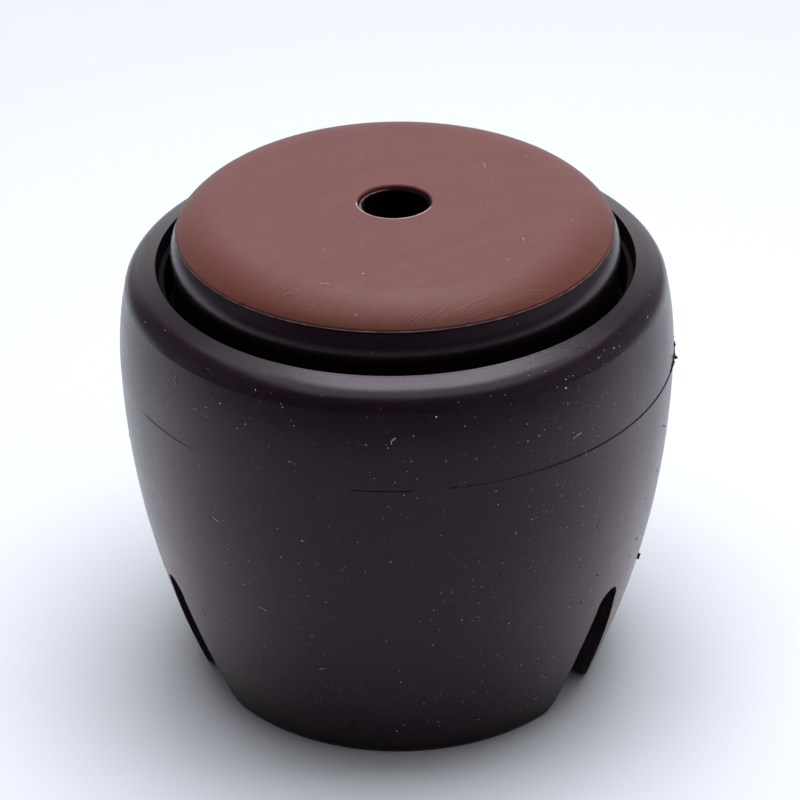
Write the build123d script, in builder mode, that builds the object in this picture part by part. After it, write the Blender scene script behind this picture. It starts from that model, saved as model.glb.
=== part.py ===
"""Chair leg cap: a moulded rubber cap that carries a hard, round glide pad.

The cap stands on its open mouth with the pad on top. In use it is turned over
and its socket is pushed onto a round chair leg, so that the pad meets the floor.

Sizes are in millimetres. Z is the axis of the leg and Z = 0 is the mouth.
Angles round the cap are counted from the -Y side.
"""

import os

from build123d import *

# Outside of the rubber cap: skirt and shoulder
mouth_radius = 16.5
widest_radius = 22.0
widest_height = 28.1
skirt_middle_radius = 21.0
skirt_middle_height = 16.0
shoulder_radius = 21.3
shoulder_height = 34.3

# Sloping land, its lip, and the stepped groove between the lip and the boss
land_radius = 19.78
land_height = 35.83
lip_radius = 18.83
lip_height = 36.1
ledge_outer_radius = 18.62
ledge_inner_radius = 18.22
ledge_height = 34.9
groove_outer_radius = 18.12
groove_inner_radius = 17.52
groove_floor_height = 31.6

# Boss that stands in the groove and carries the pad
neck_radius = 17.44
neck_height = 35.95
bulge_radius = 17.6
bulge_height = 37.1
seam_radius = 17.03
seam_height = 38.76

# Socket for the leg
socket_radius = 13.0
socket_depth = 31.0
socket_corner_chamfer = 1.5
socket_lead_in = 0.8

# Slots that divide the skirt into petals, with half widths going up each slot
slot_angles = (60, 180, 300)
slot_mouth_half_width = 2.6
slot_waist_half_width = 2.3
slot_waist_height = 5.0
slot_top_half_width = 1.4
slot_shoulder_height = 10.3
slot_top_height = 11.9
petal_corner_radius = 1.2

# Glide pad
pad_thickness = 2.04
pad_flat_radius = 13.2
pad_rim_radius = 17.08
pad_rim_thickness = 0.12
pad_hole_radius = 2.88
pad_hole_chamfer = 0.1

# Rubber sleeve that lines the hole in the pad, and the vent through it
sleeve_drop = 0.35
vent_radius = 2.55
vent_offset = 0.1

pad_top_height = seam_height + pad_thickness
pad_rim_height = seam_height + pad_rim_thickness
sleeve_top_height = pad_top_height - sleeve_drop
slot_planes = [Plane.XZ.rotated((0, 0, angle)) for angle in slot_angles]

os.makedirs("parts", exist_ok=True)


# Rubber cap: one moulding, turned from its half section
with BuildPart() as cap_body:
    with BuildSketch(Plane.YZ):
        with BuildLine():
            Polyline(
                (0, sleeve_top_height),
                (0, socket_depth),
                (socket_radius - socket_corner_chamfer, socket_depth),
                (socket_radius, socket_depth - socket_corner_chamfer),
                (socket_radius, socket_lead_in),
                (socket_radius + socket_lead_in, 0),
                (mouth_radius, 0),
            )
            skirt = TangentArc(
                (widest_radius, widest_height),
                (skirt_middle_radius, skirt_middle_height),
                tangent=(0, -1),
            )
            TangentArc(skirt @ 1, (mouth_radius, 0), tangent=skirt % 1)
            shoulder = TangentArc(
                skirt @ 0, (shoulder_radius, shoulder_height), tangent=(0, 1)
            )
            TangentArc(
                shoulder @ 1, (land_radius, land_height), tangent=shoulder % 1
            )
            Polyline(
                (land_radius, land_height),
                (lip_radius, lip_height),
                (ledge_outer_radius, ledge_height),
                (ledge_inner_radius, ledge_height),
                (groove_outer_radius, groove_floor_height),
                (groove_inner_radius, groove_floor_height),
                (neck_radius, neck_height),
            )
            ThreePointArc(
                (neck_radius, neck_height),
                (bulge_radius, bulge_height),
                (seam_radius, seam_height),
            )
            Polyline(
                (seam_radius, seam_height),
                (pad_hole_radius, seam_height),
                (pad_hole_radius, sleeve_top_height),
                (0, sleeve_top_height),
            )
        make_face()
    revolve(axis=Axis.Z)

    # Vent from the socket out through the middle of the pad
    with BuildSketch(Plane.XY.offset(sleeve_top_height)):
        with Locations((vent_offset, 0)):
            Circle(vent_radius)
    extrude(amount=socket_depth - sleeve_top_height, mode=Mode.SUBTRACT)

    # Arch-topped slots, each wider towards the mouth, with rounded feet
    for slot_plane in slot_planes:
        with BuildSketch(slot_plane) as slot:
            with BuildLine():
                foot = Line((-slot_mouth_half_width, 0), (slot_mouth_half_width, 0))
                rise = ThreePointArc(
                    foot @ 1,
                    (slot_waist_half_width, slot_waist_height),
                    (slot_top_half_width, slot_shoulder_height),
                )
                arch = ThreePointArc(
                    rise @ 1,
                    (0, slot_top_height),
                    (-slot_top_half_width, slot_shoulder_height),
                )
                ThreePointArc(
                    arch @ 1,
                    (-slot_waist_half_width, slot_waist_height),
                    foot @ 0,
                )
            make_face()
            Rectangle(
                2 * (slot_mouth_half_width + petal_corner_radius),
                petal_corner_radius,
                align=(Align.CENTER, Align.MAX),
            )
            feet = slot.vertices().sort_by_distance((0, 0))[:2]
            fillet(feet, petal_corner_radius)
        extrude(amount=widest_radius, mode=Mode.SUBTRACT)

# Glide pad: a hard disc with a rounded rim and a hole in the middle
with BuildPart() as glide_pad:
    with BuildSketch(Plane.XZ):
        with BuildLine():
            Polyline(
                (pad_flat_radius, pad_top_height),
                (pad_hole_radius, pad_top_height),
                (pad_hole_radius, seam_height),
                (pad_rim_radius, seam_height),
                (pad_rim_radius, pad_rim_height),
            )
            TangentArc(
                (pad_flat_radius, pad_top_height),
                (pad_rim_radius, pad_rim_height),
                tangent=(1, 0),
            )
        make_face()
    revolve(axis=Axis.Z)
    hole_edge = glide_pad.faces().filter_by(Axis.Z).sort_by(Axis.Z)[-1].inner_wires()
    chamfer(hole_edge.edges(), pad_hole_chamfer)

cap_body.part.label = "cap_body"
export_step(cap_body.part, "parts/cap_body.step")

glide_pad.part.label = "glide_pad"
export_step(glide_pad.part, "parts/glide_pad.step")
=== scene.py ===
"""Chair leg cap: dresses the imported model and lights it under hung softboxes.

Everything is in metres. Materials work in millimetres, on the object's own
coordinates: Z is the axis of the cap, and its front is the -Y side.
"""

import math
import random

import bmesh
import bpy
from mathutils import Matrix, Vector, noise


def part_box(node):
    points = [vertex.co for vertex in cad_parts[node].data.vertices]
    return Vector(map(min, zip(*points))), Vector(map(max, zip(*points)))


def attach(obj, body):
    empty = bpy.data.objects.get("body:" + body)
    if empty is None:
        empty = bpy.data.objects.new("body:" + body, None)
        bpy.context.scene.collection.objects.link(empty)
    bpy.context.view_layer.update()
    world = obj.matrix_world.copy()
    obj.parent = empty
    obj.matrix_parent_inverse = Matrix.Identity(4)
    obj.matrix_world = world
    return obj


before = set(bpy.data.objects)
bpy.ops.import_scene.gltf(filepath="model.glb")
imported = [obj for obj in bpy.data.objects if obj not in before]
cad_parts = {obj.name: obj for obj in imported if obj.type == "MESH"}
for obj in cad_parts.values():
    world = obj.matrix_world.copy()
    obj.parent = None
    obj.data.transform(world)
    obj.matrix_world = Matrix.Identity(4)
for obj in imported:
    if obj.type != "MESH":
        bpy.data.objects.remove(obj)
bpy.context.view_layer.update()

MM = 0.001
_, cap_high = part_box("cap_body")
pad_low, pad_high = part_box("glide_pad")
cap_widest = cap_high.x / MM
vent_top = cap_high.z / MM
pad_top = pad_high.z / MM
seam_height = pad_low.z / MM


# Shader maths -------------------------------------------------------------


class Value:
    """A socket's output. Arithmetic on it adds Math nodes."""

    def __init__(self, finish, socket):
        self.finish = finish
        self.socket = socket

    def __getitem__(self, output):
        return Value(self.finish, self.socket.node.outputs[output])

    def math(self, operation, *others):
        inputs = dict(enumerate((self, *others)))
        return self.finish.node("Math", {"operation": operation}, inputs)

    def __add__(self, other):
        return self.math("ADD", other)

    __radd__ = __add__

    def __mul__(self, other):
        return self.math("MULTIPLY", other)

    __rmul__ = __mul__

    def __sub__(self, other):
        return self.math("SUBTRACT", other)

    def __rsub__(self, other):
        inputs = {0: other, 1: self}
        return self.finish.node("Math", {"operation": "SUBTRACT"}, inputs)

    def __truediv__(self, other):
        return self.math("DIVIDE", other)

    def __pow__(self, other):
        return self.math("POWER", other)

    def rise(self, start, end, low=0.0, high=1.0):
        """Goes smoothly from low to high as this value goes from start to end."""
        return self.finish.node(
            "MapRange",
            {"interpolation_type": "SMOOTHSTEP", "clamp": True},
            {
                "Value": self,
                "From Min": start,
                "From Max": end,
                "To Min": low,
                "To Max": high,
            },
        )


class Finish:
    """A node tree under construction, for a material or for the world."""

    def __init__(self, owner):
        self.owner = owner
        owner.use_nodes = True
        self.tree = owner.node_tree
        self.tree.nodes.clear()

    def node(self, kind, settings=None, inputs=None):
        """Adds a node, sets it up, then sets or links its sockets."""
        made = self.tree.nodes.new("ShaderNode" + kind)
        for name, value in (settings or {}).items():
            setattr(made, name, value)
        for name, value in (inputs or {}).items():
            socket = made.inputs[name]
            if isinstance(value, Value):
                self.tree.links.new(value.socket, socket)
            elif socket.type == "RGBA" and len(value) == 3:
                socket.default_value = (*value, 1.0)
            else:
                socket.default_value = value
        return Value(self, made.outputs[0]) if made.outputs else None

    def point(self):
        """The place on the object, in millimetres."""
        place = self.node("TexCoord")["Object"]
        return self.node(
            "VectorMath", {"operation": "SCALE"}, {"Vector": place, "Scale": 1 / MM}
        )

    def stretched(self, point, scale):
        """The point with each axis scaled, so that a pattern draws out along it."""
        return self.node(
            "Mapping", {"vector_type": "POINT"}, {"Vector": point, "Scale": scale}
        )

    def noise(self, point, per_mm, detail=2.0, roughness=0.5):
        return self.node(
            "TexNoise",
            {"noise_dimensions": "3D", "normalize": True},
            {"Vector": point, "Scale": per_mm, "Detail": detail, "Roughness": roughness},
        )["Fac"]

    def mix(self, factor, first, second):
        """The second colour over a share of the first."""
        made = self.node(
            "Mix",
            {"data_type": "RGBA", "blend_type": "MIX", "clamp_factor": True},
            {"Factor": factor, 6: first, 7: second},
        )
        return made[2]

    def bump(self, height, distance, strength=1.0, normal=None):
        inputs = {"Height": height, "Distance": distance * MM, "Strength": strength}
        if normal is not None:
            inputs["Normal"] = normal
        return self.node("Bump", {}, inputs)

    def surface(self, over=None, share=None, **sockets):
        """A Principled surface, with another shader over a share of it.

        Underscores stand for the spaces in socket names.
        """
        shader = self.node(
            "BsdfPrincipled",
            {},
            {name.replace("_", " "): value for name, value in sockets.items()},
        )
        if over is not None:
            shader = self.node("MixShader", {}, {0: share, 1: shader, 2: over})
        self.node("OutputMaterial", {}, {"Surface": shader})
        return self.owner


def new_finish(name):
    return Finish(bpy.data.materials.new(name))


def dress(piece, material):
    piece.data.materials.clear()
    piece.data.materials.append(material)


def put_in_scene(name, shape):
    """Turns a finished bmesh into an object of that name."""
    mesh = bpy.data.meshes.new(name)
    shape.to_mesh(mesh)
    shape.free()
    piece = bpy.data.objects.new(name, mesh)
    bpy.context.scene.collection.objects.link(piece)
    return piece


# Camera -------------------------------------------------------------------

camera_turn = math.radians(4.5)
camera_elevation = math.radians(30.83)
camera_roll = math.radians(-0.92)
camera_distance = 239.8 * MM
camera_lens = 133.77
target_right = 0.176 * MM
target_height = 22.83 * MM

forward = Vector((math.sin(camera_turn), -math.cos(camera_turn), 0))
back = forward * math.cos(camera_elevation) + Vector((0, 0, math.sin(camera_elevation)))
right = Vector((math.cos(camera_turn), math.sin(camera_turn), 0))
up = back.cross(right)
target = target_right * right + Vector((0, 0, target_height))

camera_data = bpy.data.cameras.new("camera")
camera_data.lens = camera_lens
camera_data.sensor_width = 36.0
camera_data.clip_start = 0.01
camera_data.clip_end = 10.0
camera = bpy.data.objects.new("camera", camera_data)
bpy.context.scene.collection.objects.link(camera)
sideways = math.cos(camera_roll) * right + math.sin(camera_roll) * up
upward = math.cos(camera_roll) * up - math.sin(camera_roll) * right
camera.matrix_world = Matrix.Translation(target + camera_distance * back) @ Matrix(
    (sideways, upward, back)
).transposed().to_4x4()
bpy.context.scene.camera = camera


# Studio light -------------------------------------------------------------

view_settings = bpy.context.scene.view_settings
view_settings.view_transform = "Standard"

paper_white = (0.96, 0.98, 1.0)
lamp_blue = (0.95, 0.97, 1.03)
room_white = 0.97
box_distance = 0.32
box_tilt = -3.0
# Lean towards the back, half angles across and from front to back, as the cap
# sees them, radiance, and whether the lamp shows in the gloss. The overhead lamp
# is polarised, so it leaves none.
box_layers = {
    "softbox_rim": (3.0, 33.0, 32.0, 0.9, True),
    "softbox_heart": (18.0, 14.0, 14.0, 3.3, True),
    "overhead": (-1.0, 22.0, 10.0, 6.1, False),
}

world = bpy.data.worlds.new("studio_room")
bpy.context.scene.world = world
room = Finish(world)
direction = room.node("TexCoord")["Generated"]


def along(axis):
    """How far the direction points along an axis."""
    return room.node(
        "VectorMath", {"operation": "DOT_PRODUCT"}, {0: direction, 1: axis}
    )["Value"]


height = along((0, 0, 1))
level = (1 - height * height).math("MAXIMUM", 1e-4).math("SQRT")
frontness = along(forward) / level
rightness = along(right) / level
side_walls = frontness.rise(0.75, 0.1, 0.03, 0.20) + rightness.rise(0.0, 0.9, 0.0, 0.14)
side_walls = side_walls * height.rise(0.3, 0.65, 1.0, 0.45)
back_wall = frontness.rise(-0.68, -0.98) * height.rise(0.7, 0.3, 0.2, 0.75)
ceiling = height.rise(0.6, 0.9, 0.0, 0.14)
seen = room.node("LightPath")["Is Camera Ray"]
strength = (side_walls + back_wall + ceiling) * (1 - seen) + room_white * seen
room_light = room.node("Background", {}, {"Color": paper_white, "Strength": strength})
room.node("OutputWorld", {}, {"Surface": room_light})

for name, (lean, across, deep, radiance, leaves_gloss) in box_layers.items():
    lamp = bpy.data.lights.new(name, "AREA")
    lamp.shape = "RECTANGLE"
    lamp.size = 2 * box_distance * math.tan(math.radians(across))
    lamp.size_y = 2 * box_distance * math.tan(math.radians(deep))
    lamp.energy = radiance * math.pi * lamp.size * lamp.size_y
    lamp.color = lamp_blue
    towards = (
        Matrix.Rotation(math.radians(box_tilt), 3, forward)
        @ Matrix.Rotation(math.radians(-lean), 3, right)
        @ Vector((0, 0, 1))
    )
    box_right = (right - right.dot(towards) * towards).normalized()
    box_turn = Matrix((box_right, towards.cross(box_right), towards)).transposed()
    softbox = bpy.data.objects.new(name, lamp)
    bpy.context.scene.collection.objects.link(softbox)
    softbox.matrix_world = Matrix.Translation(box_distance * towards) @ box_turn.to_4x4()
    softbox.visible_glossy = leaves_gloss


# Floor --------------------------------------------------------------------

floor_reach = 1.2

shape = bmesh.new()
bmesh.ops.create_circle(shape, cap_ends=True, segments=96, radius=floor_reach)
floor = put_in_scene("floor", shape)

# Far from the cap the paper runs into the white of the room
paper = new_finish("floor_paper")
from_cap = paper.node("VectorMath", {"operation": "LENGTH"}, {0: paper.point()})["Value"]
dress(
    floor,
    paper.surface(
        over=paper.node("Emission", {}, {"Color": paper_white, "Strength": room_white}),
        share=from_cap.rise(70.0, 260.0) * paper.node("LightPath")["Is Camera Ray"],
        Base_Color=(0.85, 0.87, 0.915),
        Roughness=0.9,
        Specular_IOR_Level=0.2,
    ),
)

# A sheet spread round the front of the cap, which shows only in the gloss: it puts a painted
# reflection on the cap
sheet_inner = 16.3 * MM
sheet_outer = 1000.0 * MM
sheet_lift = 0.3 * MM
sheet_sweep = 210.0
shape = bmesh.new()
edge_angle = math.radians(90 - sheet_sweep / 2)
ends = [
    shape.verts.new(
        Matrix.Rotation(edge_angle, 3, "Z") @ (-right * reach) + Vector((0, 0, sheet_lift))
    )
    for reach in (sheet_inner, sheet_outer)
]
bmesh.ops.spin(
    shape,
    geom=[*ends, shape.edges.new(ends)],
    axis=(0, 0, 1),
    cent=(0, 0, 0),
    angle=math.radians(sheet_sweep),
    steps=42,
)
painted_reflection_sheet = put_in_scene("painted_reflection_sheet", shape)
painted_reflection_sheet.visible_camera = False
painted_reflection_sheet.visible_diffuse = False
painted_reflection_sheet.visible_shadow = False

# The painted reflection is grey straight in front, paler round the sides and near the foot of
# the cap, and dark far off. Its sides also glow a little, which is painted light too.
reflection_paint = new_finish("painted_reflection_grey")
towards_front = reflection_paint.node(
    "VectorMath", {"operation": "DOT_PRODUCT"}, {0: reflection_paint.point(), 1: forward}
)["Value"]
from_axis = reflection_paint.node("VectorMath", {"operation": "LENGTH"}, {0: reflection_paint.point()})["Value"]
facing = towards_front / from_axis
reflection_tone = reflection_paint.mix(facing.rise(1.0, -0.25), (0.42, 0.385, 0.41), (0.96, 0.91, 0.95))
near_foot = from_axis.rise(48.0, 24.0) * facing.rise(1.0, 0.4, 0.08, 0.5)
reflection_tone = reflection_paint.mix(near_foot, reflection_tone, (1.0, 0.95, 0.98))
far_off = from_axis.rise(115.0, 215.0) * facing.rise(-0.5, 0.3)
reflection_tone = reflection_paint.mix(far_off * 0.95, reflection_tone, (0.02, 0.02, 0.02))
dress(
    painted_reflection_sheet,
    reflection_paint.surface(
        Base_Color=reflection_tone,
        Roughness=1.0,
        Specular_IOR_Level=0.0,
        # Painted light: the sheet glows a little towards its sides
        Emission_Color=reflection_paint.mix(facing.rise(0.4, 0.0), (0, 0, 0), (0.06, 0.053, 0.06)),
        Emission_Strength=1.0,
    ),
)


# Rubber -------------------------------------------------------------------

parting_height = 28.1
lip_height = 36.1
lip_radius = 18.83
boss_radius = 17.6
socket_radius = 13.0
socket_depth = 31.0
vent_lining_radius = 2.9


def moulded_rubber():
    """Dark brown-black satin rubber, glossier on the land and boss, rougher in the groove,
    with painted shade in the groove, the socket and the vent.
    """
    rubber = new_finish("moulded_rubber")
    point = rubber.point()
    parts = rubber.node("SeparateXYZ", {}, {0: point})
    height = parts["Z"]
    radius = (parts["X"] ** 2 + parts["Y"] ** 2).math("SQRT")
    clouds = rubber.noise(point, 0.35, detail=3.0)
    grain = rubber.noise(point, 4.0, detail=3.0, roughness=0.6)
    runs = rubber.noise(rubber.stretched(point, (2.2, 2.2, 0.22)), 1.0, detail=3.0)

    on_top = height.rise(lip_height - 1.2, lip_height - 0.5)
    land = on_top * radius.rise(lip_radius - 0.1, lip_radius)
    boss = height.rise(35.3, 35.9) * radius.rise(boss_radius + 0.2, boss_radius + 0.1)
    groove = radius.rise(lip_radius - 0.03, lip_radius - 0.12)
    groove = groove * height.rise(35.9, 35.5) * height.rise(30.6, 31.4)
    socket = radius.rise(socket_radius + 0.8, socket_radius + 0.4)
    socket = socket * height.rise(socket_depth + 0.2, socket_depth)
    vent = radius.rise(vent_lining_radius + 0.05, vent_lining_radius)
    vent = vent * height.rise(socket_depth - 1.0, socket_depth)

    colour = rubber.mix(
        (clouds * 0.6 + grain * 0.4).rise(0.3, 0.7),
        (0.0095, 0.0036, 0.0074),
        (0.0130, 0.0052, 0.0100),
    )
    # Painted shade: the groove, the top of the socket and the vent are darkened
    colour = rubber.mix(groove * 0.85, colour, (0.002, 0.001, 0.002))
    colour = rubber.mix(socket * 0.5, colour, (0.008, 0.004, 0.006))
    colour = rubber.mix(vent * 0.8, colour, (0.002, 0.001, 0.0015))

    # Fine rings that the turned mould left on the land
    turning = rubber.node(
        "TexNoise",
        {"noise_dimensions": "1D", "normalize": True},
        {"W": radius + 0.35 * height, "Scale": 7.0, "Detail": 3.0, "Roughness": 0.7},
    )["Fac"]
    roughness = 0.205 + 0.07 * clouds + 0.05 * grain + 0.03 * runs
    roughness = roughness + land * (0.14 * turning - 0.13)
    roughness = roughness - boss * 0.04
    roughness = roughness + groove * 0.4 + vent * 0.3

    normal = rubber.bump(grain, 0.01, 0.45)
    normal = rubber.bump(runs, 0.02, 0.35, normal)
    normal = rubber.bump(turning * land, 0.02, 0.5, normal)
    # An unlit dark surface over most of the groove and the vent is painted shade as well
    unlit = rubber.node("BsdfDiffuse", {}, {"Color": (0.003, 0.0015, 0.002)})
    return rubber.surface(
        over=unlit,
        share=groove * 0.7 + vent * 0.85,
        Base_Color=colour,
        Roughness=roughness,
        IOR=1.5,
        Specular_Tint=(1.0, 0.87, 0.96),
        Normal=normal,
    )


dress(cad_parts["cap_body"], moulded_rubber())


# Glide pad ----------------------------------------------------------------

# The brushing's arcs turn round a place off the pad's front edge
brush_centre_x = 36.0
brush_centre_y = -54.0
brush_reach = 65.0


def brushed_plastic():
    """Red-brown hard plastic, brushed in shallow arcs right across the disc."""
    plastic = new_finish("brushed_plastic")
    point = plastic.point()
    parts = plastic.node("SeparateXYZ", {}, {0: point})
    height = parts["Z"]
    radius = (parts["X"] ** 2 + parts["Y"] ** 2).math("SQRT")

    away_x = parts["X"] - brush_centre_x
    away_y = parts["Y"] - brush_centre_y
    reach = (away_x ** 2 + away_y ** 2).math("SQRT")
    swing = away_y.math("ARCTAN2", away_x) * brush_reach

    def brushing(along_stroke, across_stroke, detail):
        """Noise drawn out along the strokes. Both scales are per millimetre."""
        drawn = plastic.node(
            "CombineXYZ", {}, {"X": swing * along_stroke, "Y": reach * across_stroke}
        )
        return plastic.noise(drawn, 1.0, detail=detail, roughness=0.65)

    broad = brushing(0.06, 0.8, 3.0)
    fine = brushing(0.12, 4.2, 5.0)
    mottle = plastic.noise(point, 0.5, detail=4.0, roughness=0.6)
    rim = height.rise(pad_top - 0.1, pad_top - 1.2)
    front = parts["Y"].rise(-9.0, -16.0)
    low_rim = height.rise(pad_top - 1.0, pad_top - 1.8) * front
    seam = height.rise(seam_height + 0.24, seam_height + 0.17)

    tone = (0.45 * fine + 0.35 * broad + 0.2 * mottle).rise(0.35, 0.65)
    colour = plastic.mix(tone, (0.129, 0.037, 0.033), (0.160, 0.049, 0.043))
    colour = plastic.mix(rim * 0.6, colour, (0.150, 0.046, 0.026))
    # Painted shade: the lower rim is darkened at the front only
    colour = plastic.mix(low_rim * 0.5, colour, (0.070, 0.020, 0.012))
    # Painted shade: a thin dark band on the pad just above its seam with the boss
    colour = plastic.mix(seam * 0.8, colour, (0.020, 0.007, 0.006))
    roughness = 0.31 + 0.22 * fine + 0.06 * broad - rim * 0.05
    normal = plastic.bump(fine, 0.055, 1.0)
    normal = plastic.bump(broad, 0.02, 0.35, normal)
    return plastic.surface(
        Base_Color=colour,
        Roughness=roughness,
        IOR=1.5,
        Specular_IOR_Level=0.4,
        Normal=normal,
    )


dress(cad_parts["glide_pad"], brushed_plastic())


# Moulding marks -----------------------------------------------------------


def around(angle, radius, height):
    """A place in metres. The angle is in degrees from the front, towards +X."""
    turn = math.radians(angle)
    return MM * Vector((radius * math.sin(turn), -radius * math.cos(turn), height))


def step(value, start, end):
    """Goes smoothly from 0 to 1 as the value goes from start to end."""
    share = min(max((value - start) / (end - start), 0.0), 1.0)
    return share * share * (3 - 2 * share)


def window(value, start, end, edge):
    """1 between start and end, with a smooth edge inside each of them."""
    return step(value, start, start + edge) * (1 - step(value, end - edge, end))


def wander(angle, per_turn, seed):
    """Smooth noise round the axis, from -1 to 1."""
    turn = math.radians(angle)
    reach = per_turn / math.tau
    return noise.noise(Vector((reach * math.cos(turn), reach * math.sin(turn), seed)))


def add_piece(name, shape, finish):
    """Puts a finished mesh in the scene as a piece of the cap."""
    bmesh.ops.recalc_face_normals(shape, faces=shape.faces)
    piece = put_in_scene(name, shape)
    dress(piece, finish)
    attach(piece, "root")


def turned_ring(section, steps, moved):
    """A closed section of (radius, height) turned round the axis.

    moved(angle, radius, height) gives each point its new radius and height.
    """
    shape = bmesh.new()
    corners = [shape.verts.new(around(0, *corner)) for corner in section]
    loop = [
        shape.edges.new((corner, corners[(index + 1) % len(corners)]))
        for index, corner in enumerate(corners)
    ]
    bmesh.ops.spin(
        shape,
        geom=[*corners, *loop],
        axis=(0, 0, 1),
        cent=(0, 0, 0),
        angle=math.tau,
        steps=steps,
        use_merge=True,
    )
    bmesh.ops.remove_doubles(shape, verts=shape.verts, dist=1e-8)
    for vert in shape.verts:
        angle = math.degrees(math.atan2(vert.co.x, -vert.co.y))
        radius = math.hypot(vert.co.x, vert.co.y) / MM
        vert.co = around(angle, *moved(angle, radius, vert.co.z / MM))
    return shape


def flash_rubber():
    """The thin skin of rubber that the mould squeezed out, rougher on its top, where it is
    darkened as painted shade.
    """
    flash = new_finish("flash_rubber")
    point = flash.point()
    height = flash.node("SeparateXYZ", {}, {0: point})["Z"]
    grain = flash.noise(point, 5.0, detail=3.0)
    top = height.rise(parting_height + 0.01, parting_height + 0.04)
    colour = flash.mix(grain, (0.020, 0.009, 0.016), (0.030, 0.014, 0.024))
    # Painted shade: the flash's top is darker than its sides, drawing the dark parting line
    colour = flash.mix(top, colour, (0.011, 0.005, 0.008))
    return flash.surface(
        Base_Color=colour,
        Roughness=0.3 + 0.6 * top,
        IOR=1.4,
        Specular_IOR_Level=0.3,
        Normal=flash.bump(grain, 0.01, 0.5),
    )


def flash_proud(angle):
    """How far the flash stands out of the cap, in mm. Below 0 it is hidden."""
    right_run = step(angle, 4, 46) * (1 - step(angle, 96, 108)) * 0.052
    ragged = window(angle, 80, 101, 4) * (0.02 + 0.30 * abs(wander(angle, 300, 3.1)))
    spike = max(0.0, 1 - abs(angle - 87.0) / 0.6) * 0.28
    front_run = window(angle, -6, 8, 2) * 0.055
    tags = window(angle, 14.2, 16.2, 0.8) * 0.06 + window(angle, 17.6, 19.2, 0.6) * 0.05
    left_run = window(angle, -66, -34, 14) * 0.025
    rear_run = (step(angle, 104, 120) + 1 - step(angle, -110, -80)) * 0.02
    shown = right_run + front_run + tags + left_run + rear_run
    return shown + ragged + spike - 0.03 * (1 - step(shown, 0.0, 0.02))


def onto_flash(angle, radius, height):
    """Moves only the flash's outer edge. Its root stays inside the rubber."""
    if radius < cap_widest - 0.1:
        return radius, height
    lift = 0.012 * wander(angle, 90, 5.0)
    return cap_widest + flash_proud(angle), height + lift


add_piece(
    "parting_flash",
    turned_ring(
        [
            (cap_widest - 0.4, parting_height - 0.05),
            (cap_widest, parting_height - 0.06),
            (cap_widest, parting_height + 0.03),
            (cap_widest - 0.4, parting_height + 0.05),
        ],
        steps=1440,
        moved=onto_flash,
    ),
    flash_rubber(),
)


def seam_plastic():
    """The pad's moulded foot, paler in patches: a painted highlight along the seam."""
    seam_paint = new_finish("seam_plastic_highlight")
    point = seam_paint.point()
    patchiness = seam_paint.noise(point, 1.6, detail=3.0)
    # Painted highlight: pale patches on the bead stand for the light line along the seam
    colour = seam_paint.mix(
        patchiness.rise(0.35, 0.7), (0.090, 0.040, 0.040), (0.230, 0.130, 0.130)
    )
    return seam_paint.surface(
        Base_Color=colour,
        Roughness=0.45,
        Normal=seam_paint.bump(patchiness, 0.01, 0.5),
    )


pad_rim_radius = 17.08


def onto_seam(angle, radius, height):
    """Gives the bead's outer edge its burrs, and one nib on the left."""
    if radius < pad_rim_radius - 0.03:
        return radius, height
    burr = max(0.0, abs(wander(angle, 420, 1.7)) - 0.42) * 0.16
    nib = max(0.0, 1 - abs(angle + 93.0) / 0.8) * 0.16
    return radius + 0.012 * wander(angle, 60, 2.2) + burr + nib, height


add_piece(
    "seam_bead",
    turned_ring(
        [
            (pad_rim_radius - 0.18, seam_height - 0.02),
            (pad_rim_radius + 0.01, seam_height - 0.01),
            (pad_rim_radius + 0.045, seam_height + 0.03),
            (pad_rim_radius + 0.01, seam_height + 0.07),
            (pad_rim_radius - 0.18, seam_height + 0.08),
        ],
        steps=1080,
        moved=onto_seam,
    ),
    seam_plastic(),
)


def torn_rubber():
    """The ragged inner edge of the vent's lining, rubbed pale."""
    torn = new_finish("torn_rubber")
    point = torn.point()
    patchiness = torn.noise(point, 3.0, detail=3.0)
    colour = torn.mix(patchiness.rise(0.3, 0.7), (0.07, 0.04, 0.045), (0.24, 0.17, 0.18))
    return torn.surface(
        Base_Color=colour, Roughness=0.5, Normal=torn.bump(patchiness, 0.02, 0.6)
    )


def hole_edge_highlight():
    """A painted highlight on the front edge of the hole: pale, smooth plastic in patches."""
    hole_edge_paint = new_finish("hole_edge_highlight")
    patchiness = hole_edge_paint.noise(hole_edge_paint.point(), 2.0, detail=2.0)
    # Painted highlight: pale patches along the front edge of the hole
    colour = hole_edge_paint.mix(patchiness.rise(0.3, 0.7), (0.42, 0.27, 0.26), (0.60, 0.44, 0.43))
    return hole_edge_paint.surface(
        Base_Color=colour, Roughness=0.3, Normal=hole_edge_paint.bump(patchiness, 0.01, 0.4)
    )


def onto_vent(angle, radius, height):
    """Draws the lining's torn edge inwards at the back left, and hides it elsewhere."""
    if radius > 2.7:
        return radius, height
    present = step(angle, -176, -150) * (1 - step(angle, -70, -46))
    overhang = 0.09 if radius < 2.6 else 0.05
    tear = 0.10 * abs(wander(angle, 18, 7.3)) + 0.14 * abs(wander(angle, 70, 9.1))
    inner = 2.74 - present * (overhang + tear)
    return inner, height - 0.05 * (1 - present) + present * 0.03 * wander(angle, 9, 4.0)


add_piece(
    "vent_tear",
    turned_ring(
        [
            (2.80, vent_top - 0.05),
            (2.65, vent_top - 0.02),
            (2.55, vent_top + 0.01),
            (2.56, vent_top + 0.05),
            (2.65, vent_top + 0.04),
            (2.80, vent_top - 0.01),
        ],
        steps=360,
        moved=onto_vent,
    ),
    torn_rubber(),
)


def onto_hole(angle, radius, height):
    """Sinks the bead into the pad everywhere but round the front of the hole."""
    present = step(angle, -108, -70) * (1 - step(angle, 62, 96))
    return radius, height - 0.08 * (1 - present)


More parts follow.
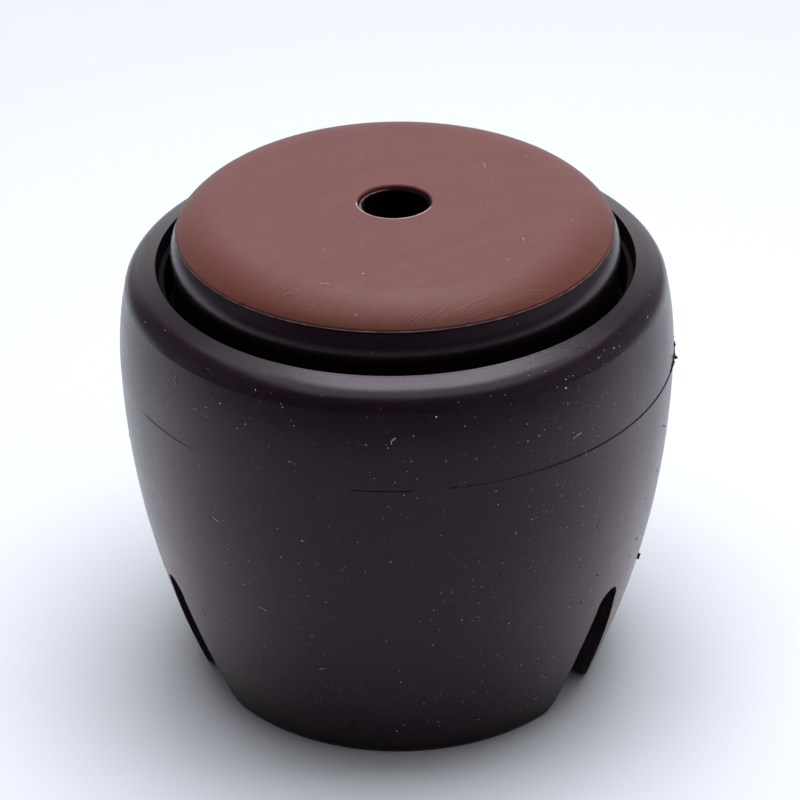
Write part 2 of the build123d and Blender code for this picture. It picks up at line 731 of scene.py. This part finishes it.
# The hole_lip bead shows only round the front of the hole, where it carries a painted
# highlight
add_piece(
    "hole_lip",
    turned_ring(
        [
            (3.00, pad_top - 0.03),
            (2.955, pad_top - 0.02),
            (2.94, pad_top + 0.01),
            (2.965, pad_top + 0.03),
            (3.00, pad_top + 0.025),
            (3.04, pad_top - 0.01),
        ],
        steps=240,
        moved=onto_hole,
    ),
    hole_edge_highlight(),
)


# Dust and lint ------------------------------------------------------------

dice = random.Random(41)
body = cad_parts["cap_body"]
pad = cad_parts["glide_pad"]
wall_reach = 26.0 * MM
lowest_top = 35.0 * MM
highest_on_skirt = 35.9
widest_on_top = 21.0
shoulder_radius = 20.4
fine_on_skirt = 860
fine_on_top = 150


def skirt_spot(angle, height):
    """The place and the outward direction on the outside of the cap.

    There is none where a slot lets the ray through to the far wall.
    """
    start = around(angle, 40.0, height)
    inward = Vector((-start.x, -start.y, 0)).normalized()
    found, place, facing, _ = body.ray_cast(start, inward)
    hit = found and start.xy.length - place.xy.length < wall_reach
    return (place, facing) if hit else None


def top_spot(angle, radius):
    """The place and the upward direction on whatever lies on top.

    There is none over the groove and the vent.
    """
    start = around(angle, radius, 60.0)
    spots = []
    for node in (body, pad):
        found, place, facing, _ = node.ray_cast(start, Vector((0, 0, -1)))
        if found:
            spots.append((place, facing))
    if not spots:
        return None
    place, facing = max(spots, key=lambda spot: spot[0].z)
    return (place, facing) if place.z > lowest_top else None


def add_grain(shape, spot, size):
    """A grain of dust, a little flattened where it sits."""
    place, facing = spot
    lie = facing.to_track_quat("Z", "Y").to_matrix()
    stretch = dice.uniform(0.8, 1.4)
    bmesh.ops.create_icosphere(
        shape,
        subdivisions=1,
        radius=size * MM,
        matrix=Matrix.Translation(place + facing * size * 0.3 * MM)
        @ (lie @ Matrix.Diagonal((stretch, 1 / stretch, 0.6))).to_4x4(),
    )


def dust_finish(name, shade):
    """Dull specks, some darker than the shade and some as pale as it."""
    dust = new_finish(name)
    speckle = dust.noise(dust.point(), 1.3, detail=1.0)
    darker = tuple(0.55 * part for part in shade)
    colour = dust.mix(speckle.rise(0.3, 0.7), darker, shade)
    return dust.surface(Base_Color=colour, Roughness=0.8, Specular_IOR_Level=0.2)


# Two fifths of the fine dust gathers at the front right and a fifth at the front
# left. The rest lies anywhere round the cap.
fine_dust = bmesh.new()
for _ in range(fine_on_skirt):
    side = dice.random()
    if side < 0.40:
        angle = dice.gauss(42, 17)
    elif side < 0.60:
        angle = dice.gauss(-20, 24)
    else:
        angle = dice.uniform(-180, 180)
    height = highest_on_skirt * dice.random() ** 0.75
    spot = skirt_spot(angle, height)
    if spot:
        add_grain(fine_dust, spot, 0.025 + 0.036 * dice.random() ** 2)
for _ in range(fine_on_top):
    spot = top_spot(dice.uniform(-180, 180), widest_on_top * math.sqrt(dice.random()))
    if spot:
        add_grain(fine_dust, spot, dice.uniform(0.018, 0.036))
add_piece("fine_dust", fine_dust, dust_finish("pale_dust", (0.56, 0.50, 0.51)))

# The grains that stand out, as angle and height, then on top as angle and radius
bold_on_skirt = (
    (55, 35), (50, 35), (40, 34), (70, 35), (-40, 20), (-20, 21), (-15, 23), (-30, 17),
    (28, 23), (45, 18), (28, 14), (43, 8), (-33, 33), (12, 34), (150, 22), (-120, 30),
)
bold_on_top = ((-30, 9.5), (-7, 12), (-6, 16.3), (130, 13), (80, 14), (45, 13))
bold_dust = bmesh.new()
for angle, height in bold_on_skirt:
    spot = skirt_spot(angle, height) or top_spot(angle, shoulder_radius)
    if spot:
        add_grain(bold_dust, spot, dice.uniform(0.048, 0.075))
for angle, radius in bold_on_top:
    add_grain(bold_dust, top_spot(angle, radius), dice.uniform(0.050, 0.070))
add_piece("bold_dust", bold_dust, dust_finish("bright_dust", (0.74, 0.70, 0.71)))


def add_hair(shape, spot, heading, length, bend, half_thickness=0.022):
    """A lint fibre that lies on the surface. It turns by bend degrees in all."""
    place, facing = spot
    level_hint = Vector((0, 0, 1)) if abs(facing.z) < 0.9 else Vector((1, 0, 0))
    across = facing.cross(level_hint)
    across.normalize()
    heads = Matrix.Rotation(math.radians(heading), 3, facing) @ across
    links = 8
    centre = place + facing * half_thickness * MM
    ring = bmesh.ops.create_circle(
        shape,
        cap_ends=True,
        segments=5,
        radius=half_thickness * MM,
        matrix=Matrix.Translation(centre) @ heads.to_track_quat("Z", "Y").to_matrix().to_4x4(),
    )["verts"]
    face = ring[0].link_faces[0]
    turn = Matrix.Rotation(math.radians(bend / links), 3, facing)
    for link in range(links):
        grown = bmesh.ops.extrude_face_region(shape, geom=[face])
        if link:
            bmesh.ops.delete(shape, geom=[face], context="FACES_ONLY")
        corners = [part for part in grown["geom"] if isinstance(part, bmesh.types.BMVert)]
        face = next(part for part in grown["geom"] if isinstance(part, bmesh.types.BMFace))
        stride = heads * (length / links * MM)
        bmesh.ops.translate(shape, verts=corners, vec=stride)
        centre = centre + stride
        bmesh.ops.rotate(shape, verts=corners, cent=centre, matrix=turn)
        heads = turn @ heads


# Fibres on the skirt, then on top: place, heading, length and bend
lint = bmesh.new()
for angle, height, heading, length, bend in (
    (43, 30, 5, 0.9, 20),
    (44, 28.5, 85, 0.7, 30),
    (50, 21, 50, 0.9, 40),
    (49, 23, 20, 0.5, 60),
    (-34, 22.5, 10, 0.8, -50),
    (-47, 11.5, 70, 1.0, 80),
    (-25, 15, -20, 0.8, 20),
    (-13, 10, 15, 0.6, 30),
    (-46, 33.5, 75, 0.9, 60),
    (4, 32.5, 15, 0.6, 90),
    (132, 24, 40, 1.1, 60),
    (-150, 16, 70, 0.9, -40),
):
    add_hair(lint, skirt_spot(angle, height), heading, length, bend)
for angle, radius, heading, length, bend in (
    (-16, 14, 80, 0.7, 20),
    (-25, 15.5, 10, 0.8, 70),
    (131, 9, 5, 1.0, 15),
    (59, 12, 15, 0.6, 10),
):
    add_hair(lint, top_spot(angle, radius), heading, length, bend)
add_piece("lint", lint, dust_finish("pale_lint", (0.62, 0.57, 0.58)))


# Crumbs of rubber that cling to the right side, and one torn sliver
crumbs = bmesh.new()
for angle, height, size in (
    (77, 24, 0.09),
    (76, 20, 0.07),
    (69, 15, 0.09),
    (66, 14, 0.06),
    (52, 15, 0.08),
    (48, 13, 0.08),
):
    add_grain(crumbs, skirt_spot(angle, height), size)
add_hair(crumbs, skirt_spot(80, 11), 60, 0.5, 25, half_thickness=0.1)
add_piece("rubber_crumbs", crumbs, flash_rubber())
